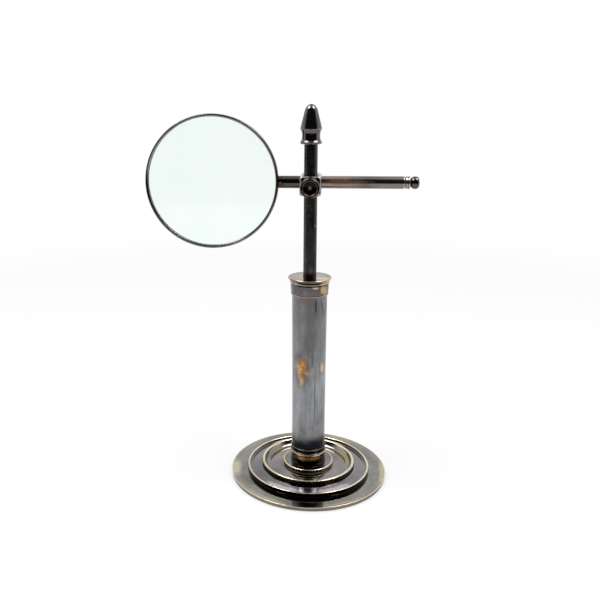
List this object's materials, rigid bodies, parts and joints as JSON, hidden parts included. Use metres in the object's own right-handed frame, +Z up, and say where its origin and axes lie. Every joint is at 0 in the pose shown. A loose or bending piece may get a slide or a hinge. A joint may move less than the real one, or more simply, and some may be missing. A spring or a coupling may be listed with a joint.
{
  "type": "desk magnifying glass on stand",
  "caption": "Round lens in a thin metal ring on a sliding arm, held by a clamp block that slides and swivels on a post above a stepped round base.",
  "frame": {"origin": "centre of the felt pad's underside, on the axis of the post", "axes": "+Z up along the post; +X along the arm away from the lens; -Y is the side that carries the clamping knob"},
  "size_m": [0.2079, 0.1206, 0.287],
  "materials": {
    "bronze": "polished antique bronze with bright worn edges",
    "dark_bronze": "polished near-black bronze patina",
    "tube_patina": "grey streaked patina with brass showing through where worn",
    "brass": "turned brass",
    "steel": "zinc-plated steel",
    "iron": "turned cast iron",
    "felt": "dark green felt",
    "glass": "polished clear glass with a faint green tint"
  },
  "bodies": {
    "stand": {"base_plate": "bronze", "felt_pad": "felt", "base_weight": "iron", "base_washer": "steel", "base_nut": "steel", "tier_ring_1": "bronze", "tier_ring_2": "bronze", "tier_ring_3": "bronze", "tie_rod": "steel", "column_ferrule": "dark_bronze", "column_tube": "tube_patina", "cap_skirt": "bronze", "column_cap": "bronze", "coupling_nut": "brass", "post": "dark_bronze", "finial_stud": "steel", "finial": "dark_bronze"},
    "slider": {"post_bush": "brass"},
    "block": {"clamp_block": "dark_bronze", "arm_grub": "steel"},
    "pad": {"pressure_pad": "brass"},
    "knob": {"clamp_screw": "steel", "clamp_knob": "dark_bronze"},
    "tilter": {"arm_bush": "brass"},
    "arm": {"arm_rod": "bronze", "arm_collar": "bronze", "arm_ball": "dark_bronze", "ball_stud": "steel", "lens_saddle": "dark_bronze", "saddle_pin": "brass", "lens_stud": "steel", "lens_ring": "bronze", "lens_retainer": "brass", "lens": "glass"}
  },
  "joints": [
    {"name": "height_slide", "type": "slide", "parent": "stand", "child": "slider", "axis": [0, 0, 1], "range_m": [-0.061, 0.021]},
    {"name": "block_swivel", "type": "hinge", "parent": "slider", "child": "block", "pos_m": [0, 0, 0.228], "axis": [0, 0, 1], "continuous": true},
    {"name": "pad_travel", "type": "slide", "parent": "block", "child": "pad", "axis": [0, -1, 0], "range_m": [0, 0.00121]},
    {"name": "knob_turn", "type": "hinge", "parent": "pad", "child": "knob", "pos_m": [0, -0.0165, 0.228], "axis": [0, -1, 0], "range_deg": [0, 540]},
    {"name": "lens_tilt", "type": "hinge", "parent": "block", "child": "tilter", "pos_m": [0, 0.0132, 0.2288], "axis": [1, 0, 0], "continuous": true},
    {"name": "arm_slide", "type": "slide", "parent": "tilter", "child": "arm", "axis": [1, 0, 0], "range_m": [-0.06, 0.008]}
  ],
  "couplings": [
    {"joint": "pad_travel", "follows": "knob_turn", "m_per_rad": 0.00012732}
  ]
}
